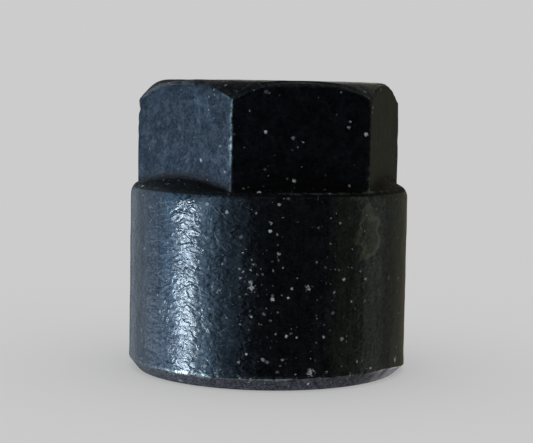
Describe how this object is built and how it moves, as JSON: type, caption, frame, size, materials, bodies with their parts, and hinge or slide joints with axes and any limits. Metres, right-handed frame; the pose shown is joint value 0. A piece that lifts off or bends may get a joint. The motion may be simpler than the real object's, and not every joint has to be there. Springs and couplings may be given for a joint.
{
  "type": "pipe cap",
  "caption": "Black steel screwed pipe cap: round skirt with chamfered mouth, sloping shoulder and crowned hexagonal head, with internal thread, slip washer and captive gasket.",
  "frame": {"origin": "centre of the mouth plane, on the thread's axis", "axes": "+Z along the thread's axis from the mouth towards the closed end with the hexagon; one flat of the hexagon faces -Y, and two of its corners point along X"},
  "size_m": [0.036, 0.036, 0.0372],
  "materials": {
    "black_oxide_steel": "black oxide or phosphate on steel, satin, lightly worn at the edges and dusty",
    "bright_steel": "bright stamped steel with a fine brushed grain",
    "nitrile_rubber": "matt moulded black rubber"
  },
  "bodies": {
    "cap": {"cap_body": "black_oxide_steel"},
    "washer": {"slip_washer": "bright_steel"},
    "gasket": {"sealing_gasket": "nitrile_rubber"}
  },
  "joints": [
    {"name": "seal_float", "type": "slide", "parent": "cap", "child": "washer", "axis": [0, 0, 1], "range_m": [-0.0015, 0]},
    {"name": "gasket_turn", "type": "hinge", "parent": "washer", "child": "gasket", "pos_m": [0, 0, 0.0198], "axis": [0, 0, 1], "continuous": true}
  ]
}
